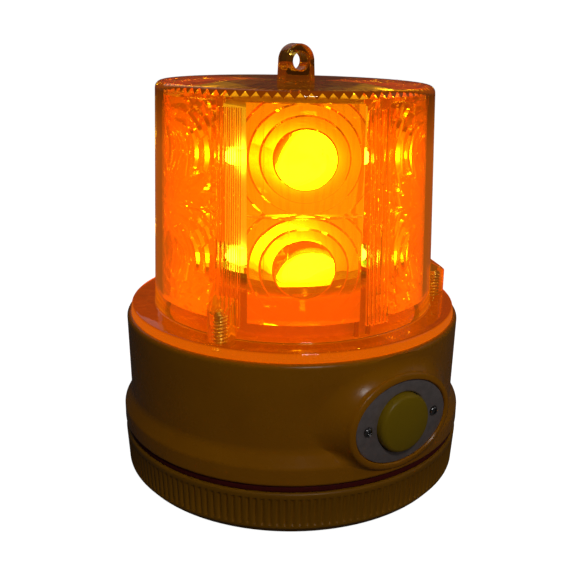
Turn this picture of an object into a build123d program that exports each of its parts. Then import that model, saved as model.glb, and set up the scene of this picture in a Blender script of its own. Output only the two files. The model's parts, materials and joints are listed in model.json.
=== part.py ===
from build123d import *
import math
import os

# Battery-powered warning beacon, millimetres, +Z up. The origin is the centre of the foot, on the
# surface it stands on, and the push button faces -Y. An azimuth is measured from -Y towards +X.

# Base cap: a screw cap with a fluted grip and a magnet under its floor
FOOT_R = 60.0
CAP_LOWER_R = 62.0
CAP_UPPER_R = 62.8
CAP_H = 15.4
CAP_CHAMFER_H = 2.4
CAP_INNER_R = 58.4
CAP_RIM_INNER_R = 56.5
CAP_FLOOR_Z = 2.2
CAP_FLOOR_T = 2.2
FLUTES = 160
FLUTE_DEPTH = 0.7
FLUTE_LOW_Z = 3.2
FLUTE_HIGH_Z = 13.4
FLUTE_HALF_W = 1.6
CAP_RING_R = 62.0

# Screw closure: three helical ridges on the neck and three lugs in the cap
STARTS = 3
LEAD = 24.0
RIDGE_SPAN = 95.0
RIDGE_LOW_Z = 6.3
RIDGE_T = 1.6
RIDGE_OUT_R = 57.9
LUG_SPAN = 16.0
LUG_FROM_START = 77.0
LUG_IN_R = 57.0
THREAD_PLAY = 0.15
THREAD_ROOT = 0.4

# Housing: neck, collar, side wall, deck and the battery well
NECK_Z = 4.8
NECK_R = 56.6
NECK_IN_R = 54.0
COLLAR_Z = 17.8
COLLAR_TOP_Z = 24.0
COLLAR_R = 62.9
WAIST_R = 60.2
WAIST_Z = 29.0
SHOULDER_R = 60.8
DECK_Z = 58.5
DECK_T = 3.0
SIDE_T = 3.1
WELL_R = 36.2
WELL_IN_R = 33.6
WELL_TOP_Z = 74.0
WELL_ROOF_Z = 71.5
GASKET_IN_R = 45.8
GASKET_OUT_R = 49.0
GASKET_GROOVE = 1.2

# Lens: foot flange, drum wall, top disc and hanging loop
FLANGE_R = 59.3
FLANGE_T = 3.3
LENS_FOOT_R = 50.7
LENS_HEAD_R = 48.3
LENS_TOP_Z = 139.6
LENS_ROUND = 2.6
LENS_WALL = 2.5
LOOP_Z = 146.6
LOOP_R = 5.9
LOOP_FOOT_W = 12.8
LOOP_T = 6.0
LOOP_HOLE_R = 3.0
RIB_GROUPS = 6
RIBS_PER_GROUP = 6
RIB_PITCH_DEG = 1.85
RIB_W = 0.7
RIB_DEPTH = 0.9
RIB_LOW_Z = 65.0
RIB_HIGH_Z = 134.0

# Screw towers at the foot of the lens
TOWER_AZIMUTHS = (-60.0, 60.0, 180.0)
TOWER_RING_R = 53.0
TOWER_R = 4.05
TOWER_HIGH_Z = 75.4
TOWER_LOW_Z = 71.4
TOWER_WEB = 3.0
SCREW_R = 1.7
SCREW_TIP_Z = 70.8
PILOT_R = 1.75
SCREW_HEAD_R = 3.2
SCREW_HEAD_T = 2.2

# Bullseye optics and the LEDs behind them
COLUMN_AZIMUTHS = (30.0, 90.0, 150.0, 210.0, 270.0, 330.0)
ROW_ZS = (84.0, 118.8)
TILE_W = 35.4
TILE_H = 34.0
TILE_BACK = 41.3
BULLSEYE_RINGS = (9.2, 13.1, 16.7, 20.6)
RING_PROUD = 2.6
BULLSEYE_SAG = 3.6
LED_TOWER_APOTHEM = 21.0
LED_TOWER_WALL = 2.0
LED_TOWER_TOP_Z = 133.0
LED_BOARD_W = 23.0
LED_BOARD_LOW_Z = 77.8
LED_BOARD_HIGH_Z = 131.5
BOARD_T = 1.6
LED_W = 8.0
LED_H = 5.6
LED_T = 3.0
LED_DOME_R = 2.6
LED_ZS = (80.7, 115.3)

# Driver board on the well's roof
POST_H = 2.0
DRIVER_R = 31.0
DRIVER_Z = WELL_TOP_Z + POST_H
BOARD_SCREW_RING_R = 28.0
BOARD_SCREW_R = 1.2
FOOT_LUG_T = 2.0
CAN_R = 4.0
CAN_H = 12.0
CAN_XS = (-9.5, 0, 9.5)
CAN_Y = -6.0
CHIP_T = 1.6
PIN_R = 0.9
PIN_HOLE_R = 1.0
PIN_HEIGHT = 0.6

# Switch on the front of the housing
SWITCH_Z = 35.8
BOSS_FACE_Y = -63.6
BOSS_HALF_W = 21.4
BOSS_HALF_H = 16.6
PLATE_HALF_W = 18.8
PLATE_HALF_H = 13.9
PLATE_T = 1.0
PLATE_RECESS = 1.4
PLATE_GAP = 0.2
PLATE_SCREW_X = 14.0
PLATE_SCREW_R = 1.1
PLATE_SCREW_HEAD_R = 1.6
PLATE_SCREW_L = 6.5
BUTTON_R = 10.0
BUTTON_GAP = 0.3
BUTTON_PROUD = 3.6
BUTTON_TRAVEL = 1.5
SOCKET_DEPTH = 2.0
SWITCH_FLANGE_R = 11.9
SWITCH_FLANGE_T = 2.0
SWITCH_BARREL_R = 10.9
SWITCH_BACK_Y = -44.5
BUTTON_DOME_R = 42.0
CHAMBER_R = 5.2
CHAMBER_WALL = 1.6
PLUNGER_R = 3.0
PLUNGER_COLLAR_R = 4.8
SEAL_T = 0.5
BUTTON_SPRING_R = 3.6
LEAD_R = 0.8
LEAD_X = 2.5
LEAD_RISE_Y = -40.5
LEAD_DROP_Y = -28.5
LEAD_CREST = 4.6
LEAD_BEND = 1.8

# Battery pack: four C cells in a drop-in cassette
CELL_R = 13.1
CELL_L = 49.9
CELL_RING_R = 18.6
NUB_R = 3.3
NUB_H = 1.5
CASSETTE_R = 32.4
CASSETTE_Z = 10.4
CASSETTE_T = 2.0
CONTACT_T = 0.4
STUD_R = 2.5
STUD_PROUD = 0.3
STRAP_W = 10.0
CARRIER_R = 30.0
CARRIER_T = 1.6
CORE_R = 5.3
CORE_IN_R = 4.6
SPRING_WIRE_R = 0.4
SPRING_R = 3.2

# Magnet and its fixings, in a pocket under the cap's floor
MAGNET_CUP_R = 25.0
MAGNET_CUP_T = 1.6
MAGNET_RING_IN_R = 5.0
MAGNET_GAP = 0.2
MAGNET_PAD_T = 1.0
POCKET_GAP = 0.5
POCKET_WALL = 2.2
POCKET_ROOF_T = 2.0
MAGNET_POCKET_Z = 7.4
MAGNET_BOLT_R = 2.0
BOLT_GAP = 0.1
BOLT_HEAD_R = 3.8
BOLT_HEAD_T = 2.4
BOLT_L = 7.0
NUT_APOTHEM = 3.5
NUT_T = 3.2
LINER_R = 26.0
LINER_IN_R = 6.5


def lathe(points, radii=None):
    """Turn a closed outline of (radius, height) points about +Z, with optional corner radii."""
    if radii is None:
        outline = Polyline(*points, close=True)
    else:
        outline = FilletPolyline(*points, radius=radii, close=True)
    return revolve(Plane.XZ * make_face(outline), Axis.Z)


def washer(outer, inner, low, high):
    """A flat ring about +Z between two heights."""
    ring = Circle(outer) if inner == 0 else Circle(outer) - Circle(inner)
    return Pos(0, 0, low) * extrude(ring, high - low)


def at(azimuth, radius=0.0, height=0.0):
    """Place a piece drawn about the -Y direction at an azimuth."""
    return Rot(0, 0, azimuth) * Pos(0, -radius, height)


def solids(shape):
    """The separate solids of a shape, as a plain list."""
    if isinstance(shape, (list, tuple)):
        return [solid for item in shape for solid in solids(item)]
    return list(shape.solids())


def front_disc(radius, front, back, x=0.0, z=0.0):
    """A round disc along Y, from its front face to its back face."""
    face = Plane((x, front, z), x_dir=(1, 0, 0), z_dir=(0, 1, 0)) * Circle(radius)
    return extrude(face, back - front)


def front_oval(half_w, half_h, front, back, z):
    """An upright oval slab along Y."""
    face = Plane((0, front, z), x_dir=(1, 0, 0), z_dir=(0, 1, 0)) * Ellipse(half_w, half_h)
    return extrude(face, back - front)


def lens_radius(height):
    """Outer radius of the drum wall, which narrows towards its top."""
    foot = DECK_Z + FLANGE_T
    share = (height - foot) / (LENS_TOP_Z - LENS_ROUND - foot)
    return LENS_FOOT_R + (LENS_HEAD_R - LENS_FOOT_R) * share


def lens_inner_radius(height):
    """Inner radius of the drum wall."""
    share = (height - DECK_Z) / (LENS_TOP_Z - LENS_WALL - DECK_Z)
    return LENS_FOOT_R - LENS_WALL + (LENS_HEAD_R - LENS_FOOT_R) * share


def helical_bar(start, span, low, inner, outer):
    """A square thread stretch that rises with azimuth, between two radii."""
    middle = (inner + outer) / 2
    path = Helix(pitch=LEAD, height=LEAD * span / 360, radius=middle)
    section = Plane(origin=path @ 0, z_dir=path % 0, x_dir=(1, 0, 0))
    bar = sweep(section * Rectangle(outer - inner, RIDGE_T), path=path, is_frenet=True)
    return Rot(0, 0, start) * Pos(0, 0, low) * bar


# Base cap and what it carries


def base_cap():
    pocket_r = MAGNET_CUP_R + POCKET_GAP
    pocket_wall_r = pocket_r + POCKET_WALL
    pocket_top = MAGNET_POCKET_Z + POCKET_ROOF_T
    bolt_hole_r = MAGNET_BOLT_R + BOLT_GAP
    floor_top = CAP_FLOOR_Z + CAP_FLOOR_T
    body = lathe(
        [
            (bolt_hole_r, MAGNET_POCKET_Z),
            (pocket_r, MAGNET_POCKET_Z),
            (pocket_r, CAP_FLOOR_Z),
            (CAP_RIM_INNER_R, CAP_FLOOR_Z),
            (CAP_RIM_INNER_R, 0),
            (FOOT_R, 0),
            (CAP_LOWER_R, CAP_CHAMFER_H),
            (CAP_UPPER_R, CAP_H),
            (CAP_INNER_R, CAP_H),
            (CAP_INNER_R, floor_top),
            (pocket_wall_r, floor_top),
            (pocket_wall_r, pocket_top),
            (bolt_hole_r, pocket_top),
        ],
        [0, 0, 0, 0, 0, 0.8, 1.5, 0.9, 0, 0, 0, 0, 0],
    )
    lugs = [
        helical_bar(
            start + LUG_FROM_START,
            LUG_SPAN,
            RIDGE_LOW_Z + LEAD * LUG_FROM_START / 360 + RIDGE_T + THREAD_PLAY,
            LUG_IN_R,
            CAP_INNER_R + THREAD_ROOT,
        )
        for start in thread_starts()
    ]
    flute = make_face(
        Polyline(
            (0, -CAP_LOWER_R + FLUTE_DEPTH),
            (FLUTE_HALF_W, -CAP_UPPER_R - 1),
            (-FLUTE_HALF_W, -CAP_UPPER_R - 1),
            close=True,
        )
    )
    cutter = Pos(0, 0, FLUTE_LOW_Z) * extrude(flute, FLUTE_HIGH_Z - FLUTE_LOW_Z)
    cutters = [at(index * 360 / FLUTES) * cutter for index in range(FLUTES)]
    return body + lugs - cutters


def thread_starts():
    return [index * 360 / STARTS for index in range(STARTS)]


def cap_liner():
    """Foam ring that takes up the play under the cassette."""
    return washer(LINER_R, LINER_IN_R, MAGNET_POCKET_Z + POCKET_ROOF_T, CASSETTE_Z)


def magnet_cup():
    roof = MAGNET_POCKET_Z - MAGNET_CUP_T
    shell = washer(MAGNET_CUP_R, 0, MAGNET_PAD_T, MAGNET_POCKET_Z)
    hollow = washer(MAGNET_CUP_R - MAGNET_CUP_T, 0, MAGNET_PAD_T, roof)
    hole = washer(MAGNET_BOLT_R + BOLT_GAP, 0, roof, MAGNET_POCKET_Z)
    return shell - hollow - hole


def magnet_ring():
    roof = MAGNET_POCKET_Z - MAGNET_CUP_T
    outer = MAGNET_CUP_R - MAGNET_CUP_T - MAGNET_GAP
    return washer(outer, MAGNET_RING_IN_R, MAGNET_PAD_T + MAGNET_GAP, roof)


def magnet_bolt():
    head_top = MAGNET_POCKET_Z - MAGNET_CUP_T
    head = washer(BOLT_HEAD_R, 0, head_top - BOLT_HEAD_T, head_top)
    slot = Pos(0, 0, head_top - BOLT_HEAD_T) * Box(6.0, 1.0, 1.6)
    shank = washer(MAGNET_BOLT_R, 0, head_top, head_top + BOLT_L)
    return head + shank - slot


def magnet_nut():
    low = MAGNET_POCKET_Z + POCKET_ROOF_T
    profile = RegularPolygon(NUT_APOTHEM, 6, major_radius=False) - Circle(MAGNET_BOLT_R + 0.05)
    return Pos(0, 0, low) * extrude(profile, NUT_T)


def magnet_pad():
    return washer(MAGNET_CUP_R, 0, 0, MAGNET_PAD_T)


# Housing


def housing_shell():
    floor = DECK_Z - DECK_T
    body = lathe(
        [
            (NECK_IN_R, NECK_Z),
            (NECK_R, NECK_Z),
            (NECK_R, COLLAR_Z),
            (COLLAR_R, COLLAR_Z),
            (COLLAR_R, COLLAR_TOP_Z),
            (WAIST_R, WAIST_Z),
            (SHOULDER_R, DECK_Z),
            (GASKET_OUT_R, DECK_Z),
            (GASKET_OUT_R, DECK_Z - GASKET_GROOVE),
            (GASKET_IN_R, DECK_Z - GASKET_GROOVE),
            (GASKET_IN_R, DECK_Z),
            (WELL_R, DECK_Z),
            (WELL_R, WELL_TOP_Z),
            (0, WELL_TOP_Z),
            (0, WELL_ROOF_Z),
            (WELL_IN_R, WELL_ROOF_Z),
            (WELL_IN_R, floor),
            (SHOULDER_R - SIDE_T, floor),
            (WAIST_R - SIDE_T, WAIST_Z + 1),
            (NECK_IN_R, COLLAR_TOP_Z),
        ],
        [0, 0.5, 0, 1.2, 2.6, 6, 2.4, 0, 0, 0, 0, 1, 1.5, 0, 0, 1, 0.8, 0.8, 2, 2],
    )
    ridges = [
        helical_bar(start, RIDGE_SPAN, RIDGE_LOW_Z, NECK_R - THREAD_ROOT, RIDGE_OUT_R)
        for start in thread_starts()
    ]
    posts = [
        at(azimuth, BOARD_SCREW_RING_R) * washer(2.8, 0, WELL_TOP_Z - 0.5, DRIVER_Z)
        for azimuth in TOWER_AZIMUTHS
    ]
    body = body + switch_boss() + ridges + posts
    return body - housing_holes() - switch_pocket()


def switch_boss():
    """Raised oval on the side wall, drawn out to a flat face."""
    near = Plane((0, BOSS_FACE_Y, SWITCH_Z), x_dir=(1, 0, 0), z_dir=(0, 1, 0))
    far = near.offset(7.5)
    front = near * Ellipse(BOSS_HALF_W - 1.2, BOSS_HALF_H - 1.2)
    back = far * Ellipse(BOSS_HALF_W, BOSS_HALF_H)
    boss = loft([front, back])
    rim = boss.edges().sort_by(Axis.Y)[0]
    return fillet(rim, 1.0)


def switch_pocket():
    """Plate recess, seat for the switch's flange, barrel bore and screw holes."""
    floor = BOSS_FACE_Y + PLATE_RECESS
    seat = floor + SWITCH_FLANGE_T + SEAL_T
    recess = front_oval(
        PLATE_HALF_W + PLATE_GAP, PLATE_HALF_H + PLATE_GAP, BOSS_FACE_Y - 2, floor, SWITCH_Z
    )
    flange = front_disc(SWITCH_FLANGE_R + 0.2, floor, seat, z=SWITCH_Z)
    barrel = front_disc(SWITCH_BARREL_R + 0.3, seat, -50, z=SWITCH_Z)
    screws = [
        front_disc(PLATE_SCREW_R + 0.05, floor, floor + PLATE_SCREW_L - 0.5, x, SWITCH_Z)
        for x in (-PLATE_SCREW_X, PLATE_SCREW_X)
    ]
    return [recess, flange, barrel] + screws


def housing_holes():
    """Through holes for the lens screws, board screws, battery pins and switch leads."""
    low = DECK_Z - DECK_T - 1
    holes = [
        at(azimuth, TOWER_RING_R) * washer(SCREW_R + 0.2, 0, low, DECK_Z + 1)
        for azimuth in TOWER_AZIMUTHS
    ]
    holes += [
        at(azimuth, BOARD_SCREW_RING_R)
        * washer(BOARD_SCREW_R + 0.05, 0, WELL_ROOF_Z + 0.6, DRIVER_Z)
        for azimuth in TOWER_AZIMUTHS
    ]
    holes += [
        Pos(x, y, 0) * washer(1.1, 0, WELL_ROOF_Z - 1, WELL_TOP_Z + 1) for x, y in pin_places()
    ]
    lead_slot = extrude(SlotOverall(9.0, 3.0), DECK_T + 2)
    holes.append(Pos(0, LEAD_RISE_Y, low) * lead_slot)
    return holes


def cap_gasket():
    """Ring in the joint between the collar and the cap."""
    return washer(CAP_RING_R, NECK_R + 0.1, CAP_H + 0.05, COLLAR_Z)


# Lens


def lens():
    foot = DECK_Z + FLANGE_T
    head = LENS_TOP_Z - LENS_ROUND
    body = lathe(
        [
            (lens_inner_radius(DECK_Z), DECK_Z),
            (FLANGE_R, DECK_Z),
            (FLANGE_R - 0.3, foot),
            (LENS_FOOT_R, foot),
            (LENS_HEAD_R, head),
            (LENS_HEAD_R - 0.1, LENS_TOP_Z),
            (0, LENS_TOP_Z),
            (0, LENS_TOP_Z - LENS_WALL),
            (LENS_HEAD_R - LENS_WALL, LENS_TOP_Z - LENS_WALL),
        ],
        [0, 0.3, 0.9, 0.6, 0, LENS_ROUND - 0.1, 0, 0, 1.2],
    )
    towers = [at(azimuth) * screw_tower() for azimuth in TOWER_AZIMUTHS]
    body = body + towers + lens_ribs() + hanging_loop()
    pilots = [
        at(azimuth, TOWER_RING_R) * washer(PILOT_R, 0, DECK_Z - 1, SCREW_TIP_Z + 0.6)
        for azimuth in TOWER_AZIMUTHS
    ]
    eye = front_disc(LOOP_HOLE_R, -LOOP_T, LOOP_T, z=LOOP_Z)
    return body - pilots - eye


def screw_tower():
    """Round tower with a web to the drum; its top slopes down away from the drum."""
    foot = DECK_Z + FLANGE_T - 0.5
    tower = Pos(0, -TOWER_RING_R, 0) * washer(TOWER_R, 0, foot, TOWER_HIGH_Z)
    reach = TOWER_RING_R - LENS_FOOT_R + 2.0
    web_middle = TOWER_RING_R - reach / 2
    web = Pos(0, -web_middle, (foot + TOWER_HIGH_Z) / 2) * Box(
        2 * TOWER_R, reach, TOWER_HIGH_Z - foot
    )
    outer = TOWER_RING_R + TOWER_R
    inner = LENS_FOOT_R - 1.2
    slope = (TOWER_HIGH_Z - TOWER_LOW_Z) / (outer - LENS_FOOT_R)
    wedge = make_face(
        Polyline(
            (-outer - 1, TOWER_LOW_Z - slope),
            (-inner, TOWER_LOW_Z + slope * (outer - inner)),
            (-inner, TOWER_HIGH_Z + 3),
            (-outer - 1, TOWER_HIGH_Z + 3),
            close=True,
        )
    )
    knife = extrude(Plane.YZ * wedge, 2 * TOWER_R, both=True)
    bore_side = washer(lens_radius(foot) - 1.2, 0, foot - 1, TOWER_HIGH_Z + 1)
    return tower + web - knife - bore_side


def lens_ribs():
    """Groups of thin upright ribs inside the drum wall, between the optics."""
    rise = RIB_HIGH_Z - RIB_LOW_Z
    draft = lens_inner_radius(RIB_LOW_Z) - lens_inner_radius(RIB_HIGH_Z)
    lean = math.degrees(math.atan2(draft, rise))
    middle_z = (RIB_HIGH_Z + RIB_LOW_Z) / 2
    middle_r = lens_inner_radius(middle_z) + 0.3 - RIB_DEPTH / 2
    rib = Pos(0, -middle_r, middle_z) * Rot(-lean, 0, 0) * Box(RIB_W, RIB_DEPTH + 0.6, rise)
    ribs = []
    for group in range(RIB_GROUPS):
        for index in range(RIBS_PER_GROUP):
            offset = (index - (RIBS_PER_GROUP - 1) / 2) * RIB_PITCH_DEG
            ribs.append(at(group * 360 / RIB_GROUPS + offset) * rib)
    return ribs


def hanging_loop():
    half = LOOP_FOOT_W / 2
    foot = LENS_TOP_Z - 0.5
    sides = Polyline((-LOOP_R, LOOP_Z), (-half, foot), (half, foot), (LOOP_R, LOOP_Z))
    crown = ThreePointArc((LOOP_R, LOOP_Z), (0, LOOP_Z + LOOP_R), (-LOOP_R, LOOP_Z))
    face = Plane.XZ * make_face(sides + crown)
    return extrude(face, LOOP_T / 2, both=True)


def lens_gasket():
    low = DECK_Z - GASKET_GROOVE
    return washer(GASKET_OUT_R - 0.2, GASKET_IN_R + 0.2, low, DECK_Z)


def lens_screws():
    floor = DECK_Z - DECK_T
    head = washer(SCREW_HEAD_R, 0, floor - SCREW_HEAD_T, floor)
    shank = washer(SCREW_R, 0, floor, SCREW_TIP_Z)
    slots = [
        Pos(0, 0, floor - SCREW_HEAD_T) * Rot(0, 0, turn) * Box(4.4, 0.8, 2.4) for turn in (0, 90)
    ]
    screw = head + shank - slots
    return [at(azimuth, TOWER_RING_R) * screw for azimuth in TOWER_AZIMUTHS]


def bullseye_tile(height):
    """One stepped bullseye, curved outside to sit against the drum wall and flat inside."""
    low, high = height - TILE_H / 2, height + TILE_H / 2
    outer = lathe(
        [
            (0, low),
            (lens_inner_radius(low) - 0.02, low),
            (lens_inner_radius(high) - 0.02, high),
            (0, high),
        ]
    )
    block = Pos(0, -TILE_BACK - 5, height) * Box(TILE_W, 10, TILE_H)
    reach = Pos(0, -TILE_BACK, height) * Box(TILE_W, 10, TILE_H)
    relief = Pos(0, 0, height) * bullseye_relief()
    return (outer & block) + (relief & reach)


def bullseye_relief():
    """The turned inner face: a centre dome and rings that step down outwards."""
    rim = BULLSEYE_RINGS[0]
    dome_r = (rim**2 + BULLSEYE_SAG**2) / (2 * BULLSEYE_SAG)
    half = math.asin(rim / dome_r) / 2
    dome_centre = -TILE_BACK + BULLSEYE_SAG - dome_r
    dome_middle = (dome_r * math.sin(half), dome_centre + dome_r * math.cos(half))
    dome = ThreePointArc((0, -TILE_BACK + BULLSEYE_SAG), dome_middle, (rim, -TILE_BACK))
    steps = []
    for start, stop in zip(BULLSEYE_RINGS, BULLSEYE_RINGS[1:]):
        steps += [(start, -TILE_BACK + RING_PROUD), (stop, -TILE_BACK)]
    root = -TILE_BACK - 0.5
    rest = [(rim, -TILE_BACK)] + steps + [(BULLSEYE_RINGS[-1], root), (0, root)]
    rest.append((0, -TILE_BACK + BULLSEYE_SAG))
    return revolve(make_face(dome + Polyline(*rest)), Axis.Y)


def bullseye_optics():
    tiles = [bullseye_tile(height) for height in ROW_ZS]
    return [at(azimuth) * tile for azimuth in COLUMN_AZIMUTHS for tile in tiles]


# Light engine


def led_tower():
    low = DRIVER_Z + BOARD_T
    outer = Rot(0, 0, 30) * RegularPolygon(LED_TOWER_APOTHEM, 6, major_radius=False)
    inner_r = LED_TOWER_APOTHEM - LED_TOWER_WALL
    inner = Rot(0, 0, 30) * RegularPolygon(inner_r, 6, major_radius=False)
    tube = Pos(0, 0, low) * extrude(outer, LED_TOWER_TOP_Z - low)
    hollow = Pos(0, 0, low) * extrude(inner, LED_TOWER_TOP_Z - LED_TOWER_WALL - low)
    foot = Pos(0, -26.5, low + FOOT_LUG_T / 2) * Box(7, 9, FOOT_LUG_T)
    hole = Pos(0, -BOARD_SCREW_RING_R, 0) * washer(BOARD_SCREW_R + 0.1, 0, low, low + FOOT_LUG_T)
    feet = [at(azimuth) * (foot - hole) for azimuth in TOWER_AZIMUTHS]
    return tube - hollow + feet - led_boards()


def led_boards():
    height = LED_BOARD_HIGH_Z - LED_BOARD_LOW_Z
    middle = (LED_BOARD_HIGH_Z + LED_BOARD_LOW_Z) / 2
    board = Pos(0, -LED_TOWER_APOTHEM - BOARD_T / 2, middle) * Box(LED_BOARD_W, BOARD_T, height)
    return [at(azimuth) * board for azimuth in COLUMN_AZIMUTHS]


def led_places():
    return [(azimuth, height) for azimuth in COLUMN_AZIMUTHS for height in LED_ZS]


def led_bodies():
    face = LED_TOWER_APOTHEM + BOARD_T
    body = Pos(0, -LED_T / 2, 0) * Box(LED_W, LED_T, LED_H)
    return [at(azimuth, face, height) * body for azimuth, height in led_places()]


def led_domes():
    face = LED_TOWER_APOTHEM + BOARD_T + LED_T
    half = Sphere(LED_DOME_R) & Pos(0, -LED_DOME_R, 0) * Box(10, 2 * LED_DOME_R, 10)
    return [at(azimuth, face, height) * half for azimuth, height in led_places()]


def driver_board():
    top = DRIVER_Z + BOARD_T
    disc = washer(DRIVER_R, 0, DRIVER_Z, top)
    holes = [
        at(azimuth, BOARD_SCREW_RING_R) * washer(BOARD_SCREW_R + 0.1, 0, DRIVER_Z, top)
        for azimuth in TOWER_AZIMUTHS
    ]
    holes += [Pos(x, y, 0) * washer(PIN_HOLE_R, 0, DRIVER_Z, top) for x, y in pin_places()]
    return disc - holes


def controller_chip():
    return Pos(0, 6, DRIVER_Z + BOARD_T + CHIP_T / 2) * Box(10, 8, CHIP_T)


def capacitors():
    low = DRIVER_Z + BOARD_T
    can = washer(CAN_R, 0, low, low + CAN_H)
    return [Pos(x, CAN_Y, 0) * can for x in CAN_XS]


def board_screws():
    seat = DRIVER_Z + BOARD_T + FOOT_LUG_T
    head = washer(2.2, 0, seat, seat + 1.6)
    slot = Pos(0, 0, seat + 1.6) * Box(3.2, 0.6, 1.2)
    shank = washer(BOARD_SCREW_R, 0, WELL_ROOF_Z + 1.0, seat)
    screw = head + shank - slot
    return [at(azimuth, BOARD_SCREW_RING_R) * screw for azimuth in TOWER_AZIMUTHS]


# Battery pack


def cell_places():
    """Centres of the four cells, and whether each stands with its positive end up."""
    places = []
    for index in range(4):
        angle = math.radians(45 + 90 * index)
        x, y = CELL_RING_R * math.cos(angle), CELL_RING_R * math.sin(angle)
        places.append((x, y, index % 2 == 0))
    return places


def pin_places():
    """The two cells whose ends feed the driver board."""
    return [(x, y) for x, y, _ in cell_places()[2:]]


def cell_floor():
    return CASSETTE_Z + CASSETTE_T + CONTACT_T


def cell_roof():
    return cell_floor() + CELL_L + CONTACT_T


def battery_cells():
    low = cell_floor()
    cells = []
    for x, y, upright in cell_places():
        base = low if upright else low + NUB_H
        cells.append(Pos(x, y, 0) * washer(CELL_R, 0, base, base + CELL_L - NUB_H))
    return cells


def cell_terminals():
    low = cell_floor()
    nubs = []
    for x, y, upright in cell_places():
        base = low + CELL_L - NUB_H if upright else low
        nubs.append(Pos(x, y, 0) * washer(NUB_R, 0, base, base + NUB_H))
    return nubs


def cassette_frame():
    top = cell_roof()
    low_disc = washer(CASSETTE_R, 0, CASSETTE_Z, CASSETTE_Z + CASSETTE_T)
    high_disc = washer(CASSETTE_R, 0, top, top + CASSETTE_T)
    core = washer(CORE_R, 0, CASSETTE_Z, top + CASSETTE_T)
    bore = washer(CORE_IN_R, 0, CASSETTE_Z, top + CASSETTE_T)
    studs = [Pos(x, y, 0) * washer(STUD_R + 0.1, 0, top, top + CASSETTE_T) for x, y in pin_places()]
    return low_disc + high_disc + core - bore - studs


def bridge(first, second, low):
    """Flat strap between two cell ends."""
    (ax, ay, _), (bx, by, _) = first, second
    length = math.hypot(bx - ax, by - ay) + STRAP_W
    turn = math.degrees(math.atan2(by - ay, bx - ax))
    strap = extrude(SlotOverall(length, STRAP_W), CONTACT_T)
    return Pos((ax + bx) / 2, (ay + by) / 2, low) * Rot(0, 0, turn) * strap


def lower_contacts():
    cells = cell_places()
    low = CASSETTE_Z + CASSETTE_T
    return [bridge(cells[0], cells[3], low), bridge(cells[1], cells[2], low)]


def upper_contacts():
    cells = cell_places()
    low = cell_roof() - CONTACT_T
    studs = []
    for x, y in pin_places():
        pad = washer(STRAP_W / 2, 0, low, low + CONTACT_T)
        stud = washer(STUD_R, 0, low + CONTACT_T, low + CONTACT_T + CASSETTE_T + STUD_PROUD)
        studs.append(Pos(x, y, 0) * (pad + stud))
    return [bridge(cells[0], cells[1], low)] + studs


def contact_carrier():
    low = WELL_ROOF_Z - CARRIER_T
    plate = washer(CARRIER_R, 0, low, WELL_ROOF_Z)
    holes = [Pos(x, y, 0) * washer(PIN_HOLE_R, 0, low, WELL_ROOF_Z) for x, y in pin_places()]
    return plate - holes


def contact_springs():
    low = cell_roof() + CASSETTE_T + STUD_PROUD + SPRING_WIRE_R
    high = WELL_ROOF_Z - CARRIER_T - SPRING_WIRE_R
    path = Helix(pitch=(high - low) / 3, height=high - low, radius=SPRING_R)
    section = Plane(origin=path @ 0, z_dir=path % 0)
    spring = sweep(section * Circle(SPRING_WIRE_R), path=path, is_frenet=True)
    return [Pos(x, y, low) * spring for x, y in pin_places()]


def battery_pins():
    """Pins that carry the supply through the well's roof to the driver board."""
    pin = washer(PIN_R, 0, WELL_ROOF_Z - CARRIER_T, DRIVER_Z + BOARD_T + PIN_HEIGHT)
    return [Pos(x, y, 0) * pin for x, y in pin_places()]


# Switch


def switch_plate():
    front = BOSS_FACE_Y + PLATE_RECESS - PLATE_T
    back = BOSS_FACE_Y + PLATE_RECESS
    plate = front_oval(PLATE_HALF_W, PLATE_HALF_H, front, back, SWITCH_Z)
    window = front_disc(BUTTON_R + BUTTON_GAP, front, back, z=SWITCH_Z)
    holes = [
        front_disc(PLATE_SCREW_R + 0.1, front, back, x, SWITCH_Z)
        for x in (-PLATE_SCREW_X, PLATE_SCREW_X)
    ]
    return plate - window - holes


def plate_screws():
    seat = BOSS_FACE_Y + PLATE_RECESS - PLATE_T
    screws = []
    for x in (-PLATE_SCREW_X, PLATE_SCREW_X):
        head = front_disc(PLATE_SCREW_HEAD_R, seat - 0.8, seat, x, SWITCH_Z)
        shank = front_disc(PLATE_SCREW_R, seat, seat + PLATE_SCREW_L, x, SWITCH_Z)
        slots = [
            Pos(x, seat - 0.8, SWITCH_Z) * Rot(0, turn, 0) * Box(2.0, 1.0, 0.5)
            for turn in (45, 135)
        ]
        screws.append(head + shank - slots)
    return screws


def switch_body():
    """Push switch: a ring flange clamped by the plate, and a barrel through the wall."""
    front = BOSS_FACE_Y + PLATE_RECESS
    shelf = front + SWITCH_FLANGE_T
    flange = front_disc(SWITCH_FLANGE_R, front, shelf, z=SWITCH_Z)
    cup = front_disc(BUTTON_R + BUTTON_GAP, front, shelf, z=SWITCH_Z)
    barrel = front_disc(SWITCH_BARREL_R, shelf, SWITCH_BACK_Y, z=SWITCH_Z)
    chamber_front = shelf + CHAMBER_WALL
    chamber = front_disc(CHAMBER_R, chamber_front, SWITCH_BACK_Y - CHAMBER_WALL, z=SWITCH_Z)
    bore = front_disc(PLUNGER_R + 0.06, shelf, chamber_front, z=SWITCH_Z)
    return flange + barrel - cup - chamber - bore


def switch_seal():
    seat = BOSS_FACE_Y + PLATE_RECESS + SWITCH_FLANGE_T
    ring = front_disc(SWITCH_FLANGE_R, seat, seat + SEAL_T, z=SWITCH_Z)
    return ring - front_disc(SWITCH_BARREL_R + 0.1, seat, seat + SEAL_T, z=SWITCH_Z)


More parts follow.
